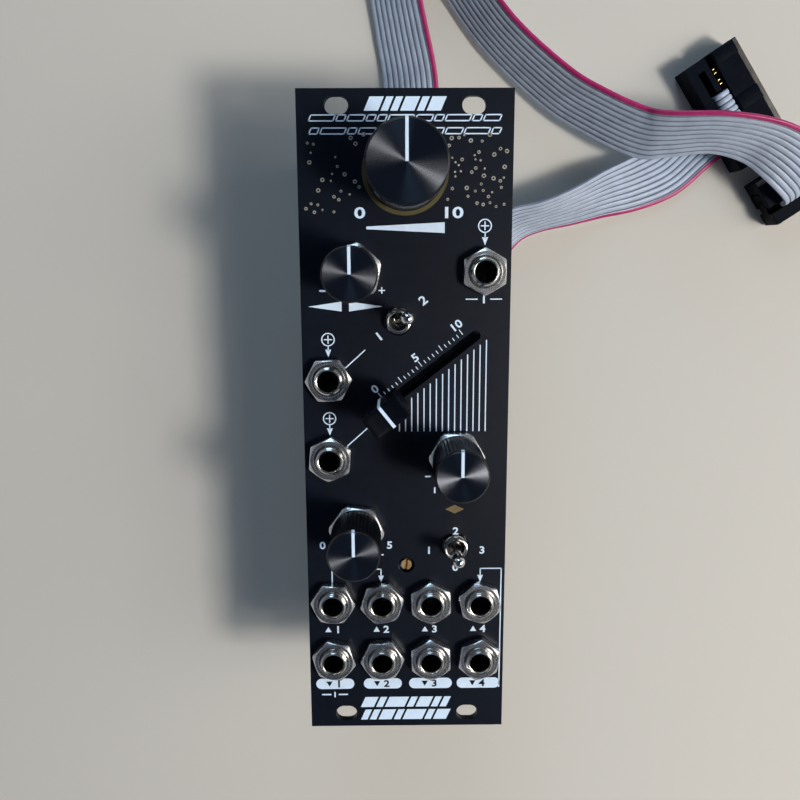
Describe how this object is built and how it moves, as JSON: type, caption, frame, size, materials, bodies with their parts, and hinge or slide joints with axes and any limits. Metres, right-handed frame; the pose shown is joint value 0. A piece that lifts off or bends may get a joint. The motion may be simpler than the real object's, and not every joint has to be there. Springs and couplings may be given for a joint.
{
  "type": "modular synthesiser filter module",
  "caption": "Slim panel-mounted synthesiser filter module with rotary knobs, a slide fader, toggle switches, jack sockets and a ribbon power cable.",
  "frame": {"origin": "centre of the panel's outline, on the surface on which the four rear capacitors stand", "axes": "+X to the panel's right, +Y up the panel, +Z out of the panel's front face"},
  "size_m": [0.1183, 0.1825, 0.0505],
  "materials": {
    "panel_board": "matt black solder mask",
    "circuit_board": "green solder mask",
    "nickel": "bright nickel plate",
    "jack_black": "moulded, with a nickel-plated bushing",
    "steel": "plated",
    "knob_black": "black anodised",
    "plastic_black": "moulded",
    "switch_blue": "moulded",
    "brass": "turned",
    "ribbon": "grey ribbon with one red edge"
  },
  "bodies": {
    "module": {"front_panel": "panel_board", "control_board": "circuit_board", "main_board": "circuit_board", "board_standoff_upper": "nickel", "board_standoff_lower": "nickel", "jack_upper_right": "jack_black", "jack_nut_upper_right": "nickel", "jack_left_upper": "jack_black", "jack_nut_left_upper": "nickel", "jack_left_lower": "jack_black", "jack_nut_left_lower": "nickel", "jack_input_1": "jack_black", "jack_nut_input_1": "nickel", "jack_input_2": "jack_black", "jack_nut_input_2": "nickel", "jack_input_3": "jack_black", "jack_nut_input_3": "nickel", "jack_input_4": "jack_black", "jack_nut_input_4": "nickel", "jack_output_1": "jack_black", "jack_nut_output_1": "nickel", "jack_output_2": "jack_black", "jack_nut_output_2": "nickel", "jack_output_3": "jack_black", "jack_nut_output_3": "nickel", "jack_output_4": "jack_black", "jack_nut_output_4": "nickel", "pot_body_large": "steel", "pot_nut_large": "nickel", "pot_body_upper": "steel", "pot_nut_upper": "nickel", "pot_body_right": "steel", "pot_nut_right": "nickel", "pot_body_left": "steel", "pot_nut_left": "nickel", "fader_frame": "steel", "toggle_body_two_way": "switch_blue", "toggle_body_three_way": "switch_blue", "trimmer_body": "switch_blue", "power_header": "plastic_black", "module_plug": "plastic_black", "bus_plug_body": "plastic_black", "bus_plug_cap": "plastic_black", "end_plug_body": "plastic_black", "end_plug_cap": "plastic_black", "ribbon_loop": "ribbon", "ribbon_to_bus": "ribbon"},
    "large_knob": {"pot_shaft_large": "steel", "knob_large": "knob_black"},
    "upper_knob": {"pot_shaft_upper": "steel", "knob_upper": "knob_black"},
    "right_knob": {"pot_shaft_right": "steel", "knob_right": "knob_black"},
    "left_knob": {"pot_shaft_left": "steel", "knob_left": "knob_black"},
    "fader": {"fader_lever": "steel", "fader_cap": "plastic_black"},
    "two_way_lever": {"toggle_lever_two_way": "nickel"},
    "three_way_lever": {"toggle_lever_three_way": "nickel"},
    "trimmer": {"trimmer_screw": "brass"}
  },
  "joints": [
    {"name": "large_knob_turn", "type": "hinge", "parent": "module", "child": "large_knob", "pos_m": [0, 0.0496, 0.034], "axis": [0, 0, 1], "range_deg": [-150, 150]},
    {"name": "upper_knob_turn", "type": "hinge", "parent": "module", "child": "upper_knob", "pos_m": [-0.01, 0.031, 0.034], "axis": [0, 0, 1], "range_deg": [-150, 150]},
    {"name": "right_knob_turn", "type": "hinge", "parent": "module", "child": "right_knob", "pos_m": [0.01, -0.0054, 0.034], "axis": [0, 0, 1], "range_deg": [-150, 150]},
    {"name": "left_knob_turn", "type": "hinge", "parent": "module", "child": "left_knob", "pos_m": [-0.01, -0.0204, 0.034], "axis": [0, 0, 1], "range_deg": [-150, 150]},
    {"name": "fader_slide", "type": "slide", "parent": "module", "child": "fader", "axis": [0.788, 0.6157, 0], "range_m": [0, 0.02]},
    {"name": "two_way_throw", "type": "hinge", "parent": "module", "child": "two_way_lever", "pos_m": [-0.0014, 0.0216, 0.0334], "axis": [-0.6157, 0.788, 0], "range_deg": [-25, 0]},
    {"name": "three_way_throw", "type": "hinge", "parent": "module", "child": "three_way_lever", "pos_m": [0.01, -0.0242, 0.0334], "axis": [0, 1, 0], "range_deg": [-12.5, 12.5]},
    {"name": "trimmer_turn", "type": "hinge", "parent": "module", "child": "trimmer", "pos_m": [0, -0.02815, 0.0334], "axis": [0, 0, 1], "continuous": true}
  ]
}
